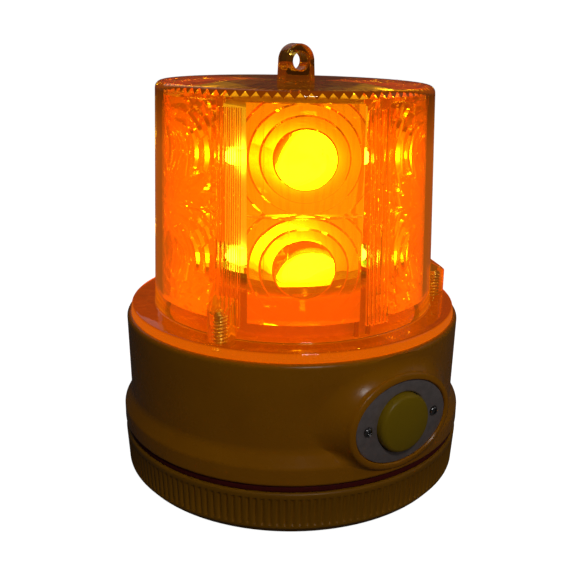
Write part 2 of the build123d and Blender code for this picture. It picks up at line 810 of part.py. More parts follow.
def switch_button():
    """Round button with a slightly domed face and a rounded edge."""
    plate_face = BOSS_FACE_Y + PLATE_RECESS - PLATE_T
    front = plate_face - BUTTON_PROUD
    back = button_back()
    body = front_disc(BUTTON_R, front, back, z=SWITCH_Z)
    ball = Pos(0, front + BUTTON_DOME_R, SWITCH_Z) * Sphere(BUTTON_DOME_R)
    body = fillet((body & ball).edges().sort_by(Axis.Y)[0], 1.8)
    return body - front_disc(PLUNGER_R, back - SOCKET_DEPTH, back, z=SWITCH_Z)


def button_back():
    """Back face of the button, clear of the switch's shelf when it is pressed."""
    return BOSS_FACE_Y + PLATE_RECESS + SWITCH_FLANGE_T - BUTTON_TRAVEL - BUTTON_GAP


def button_spring_front():
    return BOSS_FACE_Y + PLATE_RECESS + SWITCH_FLANGE_T + 2 * CHAMBER_WALL


def switch_plunger():
    """Stem in the button's socket, with a collar that the spring pushes on."""
    collar = BOSS_FACE_Y + PLATE_RECESS + SWITCH_FLANGE_T + CHAMBER_WALL + 0.05
    stem = front_disc(PLUNGER_R, button_back() - SOCKET_DEPTH, collar, z=SWITCH_Z)
    return stem + front_disc(PLUNGER_COLLAR_R, collar, button_spring_front(), z=SWITCH_Z)


def button_spring():
    front = button_spring_front()
    back = SWITCH_BACK_Y - CHAMBER_WALL
    length = back - front - 2 * SPRING_WIRE_R
    path = Helix(pitch=length / 4, height=length, radius=BUTTON_SPRING_R)
    section = Plane(origin=path @ 0, z_dir=path % 0)
    spring = sweep(section * Circle(SPRING_WIRE_R), path=path, is_frenet=True)
    return Pos(0, front + SPRING_WIRE_R, SWITCH_Z) * Rot(-90, 0, 0) * spring


def switch_leads():
    """Two wires from the switch, up through the deck and onto the driver board."""
    leads = []
    crest = DRIVER_Z + LEAD_CREST
    for x in (-LEAD_X, LEAD_X):
        path = FilletPolyline(
            (x, SWITCH_BACK_Y, SWITCH_Z),
            (x, LEAD_RISE_Y, SWITCH_Z),
            (x, LEAD_RISE_Y, crest),
            (x, LEAD_DROP_Y, crest),
            (x, LEAD_DROP_Y, DRIVER_Z + BOARD_T),
            radius=LEAD_BEND,
        )
        section = Plane(origin=path @ 0, z_dir=path % 0)
        leads.append(sweep(section * Circle(LEAD_R), path=path))
    return leads


PARTS = {
    "base_cap": base_cap,
    "cap_liner": cap_liner,
    "magnet_cup": magnet_cup,
    "magnet_ring": magnet_ring,
    "magnet_bolt": magnet_bolt,
    "magnet_nut": magnet_nut,
    "magnet_pad": magnet_pad,
    "housing_shell": housing_shell,
    "cap_gasket": cap_gasket,
    "lens": lens,
    "lens_gasket": lens_gasket,
    "lens_screws": lens_screws,
    "bullseye_optics": bullseye_optics,
    "led_tower": led_tower,
    "led_boards": led_boards,
    "led_bodies": led_bodies,
    "led_domes": led_domes,
    "driver_board": driver_board,
    "controller_chip": controller_chip,
    "capacitors": capacitors,
    "board_screws": board_screws,
    "battery_cells": battery_cells,
    "cell_terminals": cell_terminals,
    "cassette_frame": cassette_frame,
    "lower_contacts": lower_contacts,
    "upper_contacts": upper_contacts,
    "contact_carrier": contact_carrier,
    "contact_springs": contact_springs,
    "battery_pins": battery_pins,
    "switch_plate": switch_plate,
    "plate_screws": plate_screws,
    "switch_body": switch_body,
    "switch_seal": switch_seal,
    "switch_button": switch_button,
    "switch_plunger": switch_plunger,
    "button_spring": button_spring,
    "switch_leads": switch_leads,
}


def main():
    os.makedirs("parts", exist_ok=True)
    for name, make in PARTS.items():
        pieces = solids(make())
        shape = pieces[0] if len(pieces) == 1 else Compound(children=pieces)
        export_step(shape, os.path.join("parts", name + ".step"))


main()
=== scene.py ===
import json
import math

import bmesh
import bpy
from mathutils import Euler, Matrix, Vector


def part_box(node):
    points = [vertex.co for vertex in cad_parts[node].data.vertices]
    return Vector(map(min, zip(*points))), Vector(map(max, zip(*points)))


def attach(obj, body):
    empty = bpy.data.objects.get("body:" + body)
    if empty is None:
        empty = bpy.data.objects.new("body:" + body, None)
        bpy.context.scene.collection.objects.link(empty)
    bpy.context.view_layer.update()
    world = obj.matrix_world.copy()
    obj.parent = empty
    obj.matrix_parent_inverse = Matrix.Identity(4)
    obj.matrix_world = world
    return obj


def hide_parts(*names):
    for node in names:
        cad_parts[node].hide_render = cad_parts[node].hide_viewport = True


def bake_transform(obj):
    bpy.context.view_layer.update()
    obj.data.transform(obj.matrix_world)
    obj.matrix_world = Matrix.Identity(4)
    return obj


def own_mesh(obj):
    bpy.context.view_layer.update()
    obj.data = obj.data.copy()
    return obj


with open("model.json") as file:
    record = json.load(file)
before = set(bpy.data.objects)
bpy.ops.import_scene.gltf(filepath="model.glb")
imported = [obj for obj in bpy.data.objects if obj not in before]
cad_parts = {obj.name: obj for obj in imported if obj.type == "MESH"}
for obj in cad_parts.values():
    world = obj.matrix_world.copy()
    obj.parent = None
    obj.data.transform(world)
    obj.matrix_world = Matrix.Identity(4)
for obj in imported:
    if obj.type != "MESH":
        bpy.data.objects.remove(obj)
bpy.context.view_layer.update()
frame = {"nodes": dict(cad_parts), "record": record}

# Lit battery warning beacon. Lengths below are in millimetres and are turned to metres when a mesh
# is made. An azimuth is in degrees from -Y towards +X, as in the CAD.
MM = 0.001

lens_low, lens_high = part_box("lens")
shell_low, shell_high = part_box("housing_shell")
cap_low, cap_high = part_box("base_cap")
plate_low, plate_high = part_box("switch_plate")
button_low, button_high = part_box("switch_button")
gasket_low, gasket_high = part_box("cap_gasket")
led_low, led_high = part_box("led_bodies")

# Lens
DECK_Z = lens_low.z / MM
FLANGE_R = lens_high.x / MM
LOOP_TOP_Z = lens_high.z / MM
FOOT_Z = DECK_Z + 3.3
FOOT_R = 50.7
HEAD_R = 48.3
TOP_Z = 139.6
ROUND = 2.6
WALL = 2.5
LOOP_R = 5.9
LOOP_FOOT_W = 12.8
LOOP_T = 6.0
LOOP_HOLE_R = 3.0
RIB_GROUPS = 6
RIBS_PER_GROUP = 6
RIB_PITCH = 1.85
RIB_HALF_DEG = 0.40
RIB_DEPTH = 0.9
RIB_LOW_Z = 65.0
RIB_HIGH_Z = 134.0
PRISMS = 88
PRISM_DEPTH = 1.3
TOWER_AZIMUTHS = (-60, 60, 180)
TOWER_RING_R = 53.0
TOWER_R = 4.05
TOWER_HIGH_Z = 75.4
TOWER_LOW_Z = 71.4
SCREW_TIP_Z = 70.8

# Bullseye optics
COLUMNS = (30, 90, 150, 210, 270, 330)
ROW_ZS = (84.0, 118.8)
TILE_W = 35.4
TILE_H = 34.0
STRIP_EDGES = (-17.7, -12.2, -4.9, 4.9, 12.2, 17.7)
STRIP_BACKS = (41.3, 42.3, 43.1, 42.3, 41.3)
RING_STARTS = (9.2, 13.1, 16.7, 20.6)
RING_END = 25.5
RING_STRENGTHS = (0.45, 0.60, 0.48, 0.40)
RING_GROOVE = 0.45
DOME_STRENGTH = 0.9
LED_FACE_R = 25.6
LED_ZS = (80.7, 115.3)
LED_GLOW_DROP = 0.0
LED_GLOW_R = 3.4
LED_GLOW_SIDE = 0.9
BOARD_GLOW_R = 4.4
LED_DIM = 0.6
INDEX = 1.49
# Strength of the painted glow on the lens flange rim, emission standing in for LED light.
FLANGE_GLOW = 0.30


def turn(azimuth):
    """Rotation that carries the -Y direction to an azimuth."""
    return Matrix.Rotation(math.radians(azimuth), 4, "Z")


def polar(azimuth, radius, height):
    """A point by azimuth, radius and height, in metres."""
    angle = math.radians(azimuth)
    return Vector((radius * math.sin(angle), -radius * math.cos(angle), height)) * MM


def outer_wall(height):
    share = (height - FOOT_Z) / (TOP_Z - ROUND - FOOT_Z)
    return FOOT_R + (HEAD_R - FOOT_R) * share


def inner_wall(height):
    share = (height - DECK_Z) / (TOP_Z - WALL - DECK_Z)
    return FOOT_R - WALL + (HEAD_R - FOOT_R) * share


def arc_corner(before, corner, after, radius, steps):
    """Points of the arc that rounds one corner."""
    into = (Vector(before) - Vector(corner)).normalized()
    out = (Vector(after) - Vector(corner)).normalized()
    opening = into.angle(out)
    run = radius / math.tan(opening / 2)
    centre = Vector(corner) + (into + out).normalized() * (radius / math.sin(opening / 2))
    first = Vector(corner) + into * run - centre
    last = Vector(corner) + out * run - centre
    start = math.atan2(first.y, first.x)
    sweep = math.atan2(last.y, last.x) - start
    sweep = (sweep + math.pi) % (2 * math.pi) - math.pi
    points = []
    for step in range(steps + 1):
        angle = start + sweep * step / steps
        points.append((centre.x + radius * math.cos(angle), centre.y + radius * math.sin(angle)))
    return points


def rounded(points, radii, steps=6):
    """A closed outline with some of its corners rounded."""
    outline = []
    count = len(points)
    for index, (corner, radius) in enumerate(zip(points, radii)):
        if radius == 0:
            outline.append(corner)
        else:
            before, after = points[index - 1], points[(index + 1) % count]
            outline += arc_corner(before, corner, after, radius, steps)
    return outline


def divided(outline, longest):
    """The same closed outline with its long straight runs cut up."""
    points = []
    for index, (ax, ay) in enumerate(outline):
        bx, by = outline[(index + 1) % len(outline)]
        cuts = max(1, math.ceil(math.hypot(bx - ax, by - ay) / longest))
        for cut in range(cuts):
            points.append((ax + (bx - ax) * cut / cuts, ay + (by - ay) * cut / cuts))
    return points


def spin(outline, azimuths, shape=None):
    """Turn a closed (radius, height) outline about +Z; shape may move each point."""
    bm = bmesh.new()
    rings = []
    for azimuth in azimuths:
        ring = []
        for radius, height in outline:
            spot = shape(azimuth, radius, height) if shape else (radius, height)
            ring.append(bm.verts.new(polar(azimuth, *spot)))
        rings.append(ring)
    size = len(outline)
    for index, ring in enumerate(rings):
        following = rings[(index + 1) % len(rings)]
        for step in range(size):
            nearby = (step + 1) % size
            if outline[step][0] == 0 and outline[nearby][0] == 0:
                continue
            bm.faces.new((ring[step], following[step], following[nearby], ring[nearby]))
    bmesh.ops.remove_doubles(bm, verts=bm.verts, dist=1e-7)
    bmesh.ops.recalc_face_normals(bm, faces=bm.faces)
    return bm


def even(count):
    return [360 * index / count for index in range(count)]


def prism(outline, low, high):
    """A closed block from a flat outline of (x, y) points between two heights."""
    bm = bmesh.new()
    floor = [bm.verts.new(Vector((x, y, low)) * MM) for x, y in outline]
    roof = [bm.verts.new(Vector((x, y, high)) * MM) for x, y in outline]
    count = len(outline)
    for index in range(count):
        after = (index + 1) % count
        bm.faces.new((floor[index], floor[after], roof[after], roof[index]))
    bm.faces.new(floor)
    bm.faces.new(roof)
    bmesh.ops.recalc_face_normals(bm, faces=bm.faces)
    return bm


def block(low, high):
    """A closed box between two corners, in millimetres."""
    return prism(
        [(low[0], low[1]), (high[0], low[1]), (high[0], high[1]), (low[0], high[1])],
        low[2],
        high[2],
    )


def moved(bm, matrix):
    bmesh.ops.transform(bm, matrix=matrix, verts=bm.verts)
    if matrix.determinant() < 0:
        bmesh.ops.reverse_faces(bm, faces=bm.faces)
    return bm


def along_y(bm, x=0.0, z=0.0):
    """Lay a piece turned about +Z down, so that its +Z points to -Y."""
    lay = Matrix.Translation(Vector((x, 0, z)) * MM) @ Matrix.Rotation(math.radians(90), 4, "X")
    return moved(bm, lay)


def as_object(name, bm):
    mesh = bpy.data.meshes.new(name)
    bm.to_mesh(mesh)
    bm.free()
    obj = bpy.data.objects.new(name, mesh)
    bpy.context.scene.collection.objects.link(obj)
    return obj


def carve(obj, tool_bm, operation):
    """Join, cut or keep a shape with another one, and leave a plain mesh."""
    tool = as_object("tool", tool_bm)
    modifier = obj.modifiers.new("carve", "BOOLEAN")
    modifier.operation = operation
    modifier.solver = "MANIFOLD"
    modifier.object = tool
    graph = bpy.context.evaluated_depsgraph_get()
    made = bpy.data.meshes.new_from_object(obj.evaluated_get(graph))
    obj.modifiers.clear()
    spare = obj.data
    obj.data = made
    bpy.data.meshes.remove(spare)
    spare = tool.data
    bpy.data.objects.remove(tool)
    bpy.data.meshes.remove(spare)
    return obj


def finished(obj, material, body, nodes, sharp=28.0):
    """Shade a piece and tie it to its body, finish and CAD nodes."""
    mesh = obj.data
    mesh.materials.clear()
    mesh.materials.append(material)
    mesh.polygons.foreach_set("use_smooth", [True] * len(mesh.polygons))
    mesh.set_sharp_from_angle(angle=math.radians(sharp))
    mesh.update()
    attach(obj, body)
    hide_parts(*nodes)
    return obj


# Materials


class Recipe:
    """A node material built from the shader back."""

    def __init__(self, name):
        self.material = bpy.data.materials.new(name)
        self.material.use_nodes = True
        self.tree = self.material.node_tree
        self.tree.nodes.clear()
        self.out = self.node("ShaderNodeOutputMaterial")

    def node(self, kind, inputs=None, **settings):
        made = self.tree.nodes.new(kind)
        for key, value in settings.items():
            setattr(made, key, value)
        for key, value in (inputs or {}).items():
            if isinstance(value, bpy.types.NodeSocket):
                self.tree.links.new(value, made.inputs[key])
            else:
                made.inputs[key].default_value = value
        return made

    def coords(self):
        return self.node("ShaderNodeTexCoord").outputs["Object"]

    def noise(self, scale, detail=3.0, rough=0.5, stretch=None):
        place = self.coords()
        if stretch:
            place = self.node(
                "ShaderNodeVectorMath", {0: place, 1: stretch}, operation="MULTIPLY"
            ).outputs[0]
        return self.node(
            "ShaderNodeTexNoise",
            {"Vector": place, "Scale": scale, "Detail": detail, "Roughness": rough},
        ).outputs["Fac"]

    def span(self, value, low, high, new_low, new_high):
        return self.node(
            "ShaderNodeMapRange", {0: value, 1: low, 2: high, 3: new_low, 4: new_high}
        ).outputs[0]

    def blend(self, fac, first, second):
        made = self.node("ShaderNodeMix", {"Factor": fac}, data_type="RGBA")
        for key, value in ((6, first), (7, second)):
            if isinstance(value, bpy.types.NodeSocket):
                self.tree.links.new(value, made.inputs[key])
            else:
                made.inputs[key].default_value = value
        return made.outputs[2]

    def sum(self, first, second, operation="ADD"):
        """Sum of two values, or another math operation on them."""
        return self.node("ShaderNodeMath", {0: first, 1: second}, operation=operation).outputs[0]

    def bump(self, height, strength, distance, under=None):
        inputs = {"Height": height, "Strength": strength, "Distance": distance}
        if under:
            inputs["Normal"] = under
        return self.node("ShaderNodeBump", inputs).outputs[0]

    def surface(self, shader):
        self.tree.links.new(shader, self.out.inputs["Surface"])
        return self.material


def rgba(red, green, blue):
    return (red, green, blue, 1.0)


def moulded_plastic(name, base, deep, worn, gloss=(0.32, 0.46), grain=0.00004):
    """Moulded plastic: faint mottling, fine grain and lighter rubbed edges."""
    recipe = Recipe(name)
    mottle = recipe.noise(45.0, 4.0, 0.6)
    fine = recipe.noise(1500.0, 2.0, 0.55)
    edge = recipe.node("ShaderNodeNewGeometry").outputs["Pointiness"]
    rub = recipe.span(edge, 0.52, 0.60, 0.0, 0.55)
    scuff = recipe.span(recipe.noise(260.0, 5.0, 0.7), 0.50, 0.68, 0.0, 1.0)
    rubbed = recipe.sum(rub, scuff, "MULTIPLY")
    colour = recipe.blend(recipe.span(mottle, 0.3, 0.7, 0.0, 1.0), base, deep)
    colour = recipe.blend(rubbed, colour, worn)
    rough = recipe.span(recipe.noise(120.0, 4.0, 0.6), 0.3, 0.7, gloss[0], gloss[1])
    normal = recipe.bump(fine, 0.35, grain)
    shader = recipe.node(
        "ShaderNodeBsdfPrincipled",
        {"Base Color": colour, "Roughness": rough, "Normal": normal, "Specular IOR Level": 0.32},
    )
    return recipe.surface(shader.outputs[0])


def metal(name, base, deep, gloss=(0.22, 0.4), stretch=None, shine=1.0):
    """Plated or drawn metal with fine brushing and slight tarnish."""
    recipe = Recipe(name)
    brush = recipe.noise(900.0, 3.0, 0.6, stretch)
    tarnish = recipe.span(recipe.noise(300.0, 4.0, 0.65), 0.35, 0.7, 0.0, 1.0)
    colour = recipe.blend(tarnish, base, deep)
    rough = recipe.span(brush, 0.3, 0.7, gloss[0], gloss[1])
    normal = recipe.bump(brush, 0.25, 0.00003)
    shader = recipe.node(
        "ShaderNodeBsdfPrincipled",
        {"Base Color": colour, "Roughness": rough, "Normal": normal, "Metallic": shine},
    )
    return recipe.surface(shader.outputs[0])


def soft_rubber(name, base, deep):
    """Matte rubber or foam with a pitted skin."""
    recipe = Recipe(name)
    pits = recipe.noise(1100.0, 4.0, 0.65)
    colour = recipe.blend(recipe.span(pits, 0.35, 0.7, 0.0, 1.0), base, deep)
    rough = recipe.span(recipe.noise(200.0), 0.3, 0.7, 0.65, 0.85)
    normal = recipe.bump(pits, 0.5, 0.0001)
    shader = recipe.node(
        "ShaderNodeBsdfPrincipled", {"Base Color": colour, "Roughness": rough, "Normal": normal}
    )
    return recipe.surface(shader.outputs[0])


def amber_clear(name, tint, glow, haze, ripple):
    """Clear amber plastic with painted glow: emission stands in for the LEDs' light inside it and at
    the flange rim; its shadow is amber light.
    """
    recipe = Recipe(name)
    cloud = recipe.noise(70.0, 3.0, 0.5)
    rough = recipe.span(cloud, 0.35, 0.7, 0.0, haze)
    normal = recipe.bump(recipe.noise(160.0, 2.0, 0.5), 0.15, ripple)
    height = recipe.node("ShaderNodeSeparateXYZ", {0: recipe.coords()}).outputs["Z"]
    # Painted glow: emission, full up to the upper LED row and faint at the roof and loop, stands in
    # for the LEDs' light in the plastic.
    painted_glow = recipe.span(height, 0.118, 0.142, glow, glow * 0.12)
    flat = recipe.node(
        "ShaderNodeVectorMath", {0: recipe.coords(), 1: (1.0, 1.0, 0.0)}, operation="MULTIPLY"
    ).outputs[0]
    reach = recipe.node("ShaderNodeVectorMath", {0: flat}, operation="LENGTH").outputs["Value"]
    # Painted glow on the flange rim: a ring of emission that stands in for LED light caught at the
    # rim.
    edge = recipe.span(reach, (FLANGE_R - 0.8) * MM, (FLANGE_R - 0.3) * MM, 0.0, FLANGE_GLOW)
    painted_glow = recipe.sum(painted_glow, edge)
    shader = recipe.node(
        "ShaderNodeBsdfPrincipled",
        {
            "Base Color": tint,
            "Roughness": rough,
            "Normal": normal,
            "Transmission Weight": 1.0,
            "IOR": INDEX,
            "Emission Color": rgba(1.0, 0.20, 0.0),
            "Emission Strength": painted_glow,
        },
    )
    clear = recipe.node("ShaderNodeBsdfTransparent", {"Color": tint})
    shadow = recipe.node("ShaderNodeLightPath").outputs["Is Shadow Ray"]
    mixed = recipe.node(
        "ShaderNodeMixShader", {0: shadow, 1: shader.outputs[0], 2: clear.outputs[0]}
    )
    return recipe.surface(mixed.outputs[0])


def led_beam(recipe, peak, spread):
    """Strength of the light round each LED: a hot spot that falls off with distance."""
    place = recipe.node("ShaderNodeSeparateXYZ", {0: recipe.coords()})
    across, ahead, height = (place.outputs[axis] for axis in "XYZ")
    azimuth = recipe.sum(across, recipe.sum(ahead, -1.0, "MULTIPLY"), "ARCTAN2")
    column = math.radians(60)
    off_middle = recipe.sum(recipe.sum(azimuth, column, "FLOORED_MODULO"), -column / 2)
    side = recipe.sum(recipe.sum(off_middle, LED_FACE_R * MM, "MULTIPLY"), -LED_GLOW_SIDE * MM)
    pitch = (LED_ZS[1] - LED_ZS[0]) * MM
    start = pitch / 2 - (LED_ZS[0] - LED_GLOW_DROP) * MM
    row = recipe.sum(recipe.sum(height, start), pitch, "FLOORED_MODULO")
    rise = recipe.sum(row, -pitch / 2)
    away = recipe.sum(recipe.sum(side, side, "MULTIPLY"), recipe.sum(rise, rise, "MULTIPLY"))
    fall = recipe.sum(away, -1.0 / (spread * MM) ** 2, "MULTIPLY")
    return recipe.sum(recipe.sum(math.e, fall, "POWER"), peak, "MULTIPLY")


def lit(name, colour, peak):
    """A lit LED, a little uneven over its phosphor."""
    recipe = Recipe(name)
    grain = recipe.span(recipe.noise(600.0, 2.0, 0.5), 0.35, 0.65, 0.7, 1.0)
    uneven = recipe.sum(led_beam(recipe, peak, LED_GLOW_R), grain, "MULTIPLY")
    shader = recipe.node(
        "ShaderNodeBsdfPrincipled",
        {
            "Base Color": rgba(0.8, 0.6, 0.2),
            "Roughness": 0.3,
            "Emission Color": colour,
            "Emission Strength": recipe.sum(uneven, LED_DIM),
        },
    )
    return recipe.surface(shader.outputs[0])


def board(name, base, deep, glow):
    """Solder mask over copper tracks; the LED boards also get a painted glow round their LEDs,
    emission that stands in for the LEDs' light on the board.
    """
    recipe = Recipe(name)
    tracks = recipe.node(
        "ShaderNodeTexBrick",
        {
            "Vector": recipe.coords(),
            "Color1": base,
            "Color2": base,
            "Mortar": deep,
            "Scale": 210.0,
            "Mortar Size": 0.03,
        },
    ).outputs["Color"]
    weave = recipe.noise(900.0, 2.0, 0.5)
    inputs = {
        "Base Color": tracks,
        "Roughness": recipe.span(weave, 0.3, 0.7, 0.25, 0.4),
        "Normal": recipe.bump(weave, 0.2, 0.00005),
    }
    # Painted glow: a hot spot round each LED, weaker on the lower row, plus an even LED_DIM floor. It
    # is emission that stands in for the LEDs' light on the board.
    if glow:
        inputs["Emission Color"] = rgba(1.0, 0.72, 0.1)
        height = recipe.node("ShaderNodeSeparateXYZ", {0: recipe.coords()}).outputs["Z"]
        upper = recipe.span(height, LED_ZS[0] * MM, LED_ZS[1] * MM, 0.15, 1.0)
        painted_halo = recipe.sum(led_beam(recipe, glow, BOARD_GLOW_R), upper, "MULTIPLY")
        inputs["Emission Strength"] = recipe.sum(painted_halo, LED_DIM)
    shader = recipe.node("ShaderNodeBsdfPrincipled", inputs)
    return recipe.surface(shader.outputs[0])


AMBER = rgba(1.0, 0.65, 0.08)
slots = {
    "cap_yellow": moulded_plastic(
        "cap_yellow", rgba(0.46, 0.185, 0.003), rgba(0.38, 0.15, 0.002), rgba(0.52, 0.25, 0.01)
    ),
    "housing_yellow": moulded_plastic(
        "housing_yellow",
        rgba(0.66, 0.235, 0.001),
        rgba(0.58, 0.20, 0.001),
        rgba(0.70, 0.32, 0.01),
        gloss=(0.20, 0.32),
    ),
    "button_yellow": moulded_plastic(
        "button_yellow", rgba(0.48, 0.30, 0.004), rgba(0.42, 0.26, 0.003), rgba(0.52, 0.38, 0.01)
    ),
    # The glow argument here is painted glow: emission that stands in for the LEDs' light in the amber
    # plastic.
    "amber_lens": amber_clear("amber_lens", AMBER, 0.12, 0.02, 0.00006),
    "amber_optic": amber_clear("amber_optic", AMBER, 0.18, 0.015, 0.00003),
    "grey_foam": soft_rubber("grey_foam", rgba(0.10, 0.10, 0.11), rgba(0.05, 0.05, 0.05)),
    "zinc_steel": metal("zinc_steel", rgba(0.55, 0.55, 0.57), rgba(0.36, 0.36, 0.38)),
    "dark_steel": metal("dark_steel", rgba(0.80, 0.82, 0.90), rgba(0.50, 0.52, 0.60)),
    "ferrite": soft_rubber("ferrite", rgba(0.05, 0.05, 0.055), rgba(0.03, 0.03, 0.03)),
    "black_rubber": soft_rubber("black_rubber", rgba(0.02, 0.02, 0.02), rgba(0.012, 0.012, 0.012)),
    "dark_red_rubber": soft_rubber(
        "dark_red_rubber", rgba(0.16, 0.003, 0.001), rgba(0.10, 0.002, 0.0006)
    ),
    "black_plastic": moulded_plastic(
        "black_plastic", rgba(0.03, 0.03, 0.03), rgba(0.02, 0.02, 0.02), rgba(0.07, 0.07, 0.07)
    ),
    "white_plastic": moulded_plastic(
        "white_plastic", rgba(0.80, 0.78, 0.72), rgba(0.74, 0.72, 0.66), rgba(0.85, 0.84, 0.80)
    ),
    # The last argument is the peak of the painted glow round each LED on the white boards.
    "board_white": board("board_white", rgba(0.34, 0.31, 0.26), rgba(0.24, 0.20, 0.14), 9.0),
    "board_green": board("board_green", rgba(0.02, 0.16, 0.06), rgba(0.03, 0.24, 0.09), 0.0),
    "led_package": lit("led_package", rgba(1.0, 0.78, 0.10), 22.0),
    "lit_led": lit("lit_led", rgba(1.0, 0.84, 0.14), 26.0),
    "can_aluminium": metal("can_aluminium", rgba(0.6, 0.61, 0.63), rgba(0.45, 0.45, 0.47)),
    "cell_jacket": moulded_plastic(
        "cell_jacket", rgba(0.05, 0.05, 0.06), rgba(0.03, 0.03, 0.04), rgba(0.2, 0.2, 0.2)
    ),
    "nickel": metal("nickel", rgba(0.66, 0.65, 0.60), rgba(0.5, 0.48, 0.44), (0.12, 0.25)),
    "grey_plate": metal(
        "grey_plate",
        rgba(0.50, 0.42, 0.40),
        rgba(0.38, 0.32, 0.30),
        gloss=(0.32, 0.5),
        stretch=(1.0, 1.0, 6.0),
        shine=0.5,
    ),
    "plate_screw": metal("plate_screw", rgba(0.45, 0.45, 0.46), rgba(0.22, 0.21, 0.2), (0.1, 0.3)),
    "lead_red": moulded_plastic(
        "lead_red", rgba(0.40, 0.02, 0.015), rgba(0.33, 0.015, 0.012), rgba(0.5, 0.1, 0.08)
    ),
}
for part in frame["record"]["subparts"]:
    node = frame["nodes"].get(part["node"])
    if node:
        for place in node.material_slots:
            place.material = slots[part["material_slot"]]


# Lens


def rib_share(azimuth):
    """1 on a rib, 0 between ribs."""
    group = 360 / RIB_GROUPS
    offset = (azimuth + group / 2) % group - group / 2
    place = offset / RIB_PITCH + (RIBS_PER_GROUP - 1) / 2
    nearest = min(max(round(place), 0), RIBS_PER_GROUP - 1)
    away = abs(place - nearest) * RIB_PITCH
    return 1.0 if away <= RIB_HALF_DEG + 1e-6 else 0.0


def lens_azimuths():
    angles = set()
    for index in range(360):
        angles.add(float(index))
    for group in range(RIB_GROUPS):
        for index in range(RIBS_PER_GROUP):
            middle = 360 / RIB_GROUPS * group + (index - (RIBS_PER_GROUP - 1) / 2) * RIB_PITCH
            for side in (-1, 1):
                for edge in (RIB_HALF_DEG, RIB_HALF_DEG + 0.06):
                    angles.add((middle + side * edge) % 360)
    for index in range(2 * PRISMS):
        angles.add(180 * index / PRISMS)
    kept = []
    for angle in sorted(angles):
        if not kept or angle - kept[-1] > 0.03:
            kept.append(angle)
    return kept


def lens_shape(azimuth, radius, height):
    """Ribs on the inside of the wall and radial prisms under the roof."""
    on_wall = abs(radius - inner_wall(height)) < 0.01
    if on_wall and RIB_LOW_Z - 0.01 < height < RIB_HIGH_Z + 0.01:
        return radius - RIB_DEPTH * rib_share(azimuth), height
    under_roof = TOP_Z - WALL - 0.01 < height < TOP_Z - 0.6 and 12.5 < radius < 46.2
    if under_roof and height < TOP_Z - WALL + 0.01:
        phase = (azimuth / 180 * PRISMS) % 2
        wave = abs(phase - 1)
        share = min(1.0, (radius - 12.5) / 3.0)
        return radius, height + PRISM_DEPTH * wave * share
    return radius, height


def lens_outline():
    profile = rounded(
        [
            (inner_wall(DECK_Z), DECK_Z),
            (FLANGE_R, DECK_Z),
            (FLANGE_R - 0.3, FOOT_Z),
            (FOOT_R, FOOT_Z),
            (HEAD_R, TOP_Z - ROUND),
            (HEAD_R - 0.1, TOP_Z),
            (0, TOP_Z),
            (0, TOP_Z - WALL),
            (HEAD_R - WALL + 0.0, TOP_Z - WALL),
            (inner_wall(RIB_HIGH_Z + 0.05), RIB_HIGH_Z + 0.05),
            (inner_wall(RIB_HIGH_Z), RIB_HIGH_Z),
            (inner_wall(RIB_LOW_Z), RIB_LOW_Z),
            (inner_wall(RIB_LOW_Z - 0.05), RIB_LOW_Z - 0.05),
        ],
        [0, 0.3, 0.9, 0.6, 0, ROUND - 0.15, 0, 0, 0, 0, 0, 0, 0],
        8,
    )
    return divided(profile, 6.0)


def tower_block():
    """Screw tower with its web, standing in the flange; its top slopes down and out."""
    inner = FOOT_R - 1.3
    outline = [(TOWER_R, -inner)]
    steps = 28
    for step in range(steps + 1):
        angle = math.pi * step / steps
        outline.append(
            (TOWER_R * math.cos(angle), -TOWER_RING_R - TOWER_R * math.sin(angle))
        )
    outline.append((-TOWER_R, -inner))
    bm = prism(outline, FOOT_Z - 0.6, TOWER_HIGH_Z)
    outer = TOWER_RING_R + TOWER_R
    for vert in bm.verts:
        if vert.co.z > (FOOT_Z + 1) * MM:
            out = (-vert.co.y / MM - FOOT_R) / (outer - FOOT_R)
            vert.co.z = (TOWER_HIGH_Z + (TOWER_LOW_Z - TOWER_HIGH_Z) * max(out, -0.1)) * MM
    crest = [edge for edge in bm.edges if min(v.co.z for v in edge.verts) > (FOOT_Z + 1) * MM]
    bmesh.ops.bevel(bm, geom=crest, offset=0.35 * MM, segments=3, affect="EDGES", profile=0.5)
    return bm


def loop_block():
    """Flat tab with a round crown and softened edges."""
    half = LOOP_FOOT_W / 2
    middle = LOOP_TOP_Z - LOOP_R
    outline = [(-half, TOP_Z - 1.2), (half, TOP_Z - 1.2)]
    steps = 36
    for step in range(steps + 1):
        angle = math.pi * step / steps
        outline.append((LOOP_R * math.cos(angle), middle + LOOP_R * math.sin(angle)))
    bm = prism(outline, -LOOP_T / 2, LOOP_T / 2)
    rim = [
        edge
        for edge in bm.edges
        if abs(abs(edge.verts[0].co.z) - LOOP_T / 2 * MM) < 1e-7
        and abs(edge.verts[0].co.z - edge.verts[1].co.z) < 1e-7
    ]
    bmesh.ops.bevel(bm, geom=rim, offset=0.7 * MM, segments=4, affect="EDGES", profile=0.5)
    return moved(bm, Matrix.Rotation(math.radians(90), 4, "X"))


def loop_eye():
    """The loop's hole, a little wider at both faces."""
    half = LOOP_T / 2
    outline = [
        (0, -half - 1),
        (LOOP_HOLE_R + 1.5, -half - 1),
        (LOOP_HOLE_R + 0.5, -half),
        (LOOP_HOLE_R, -half + 0.6),
        (LOOP_HOLE_R, half - 0.6),
        (LOOP_HOLE_R + 0.5, half),
        (LOOP_HOLE_R + 1.5, half + 1),
        (0, half + 1),
    ]
    return along_y(spin(outline, even(48)), z=LOOP_TOP_Z - LOOP_R)


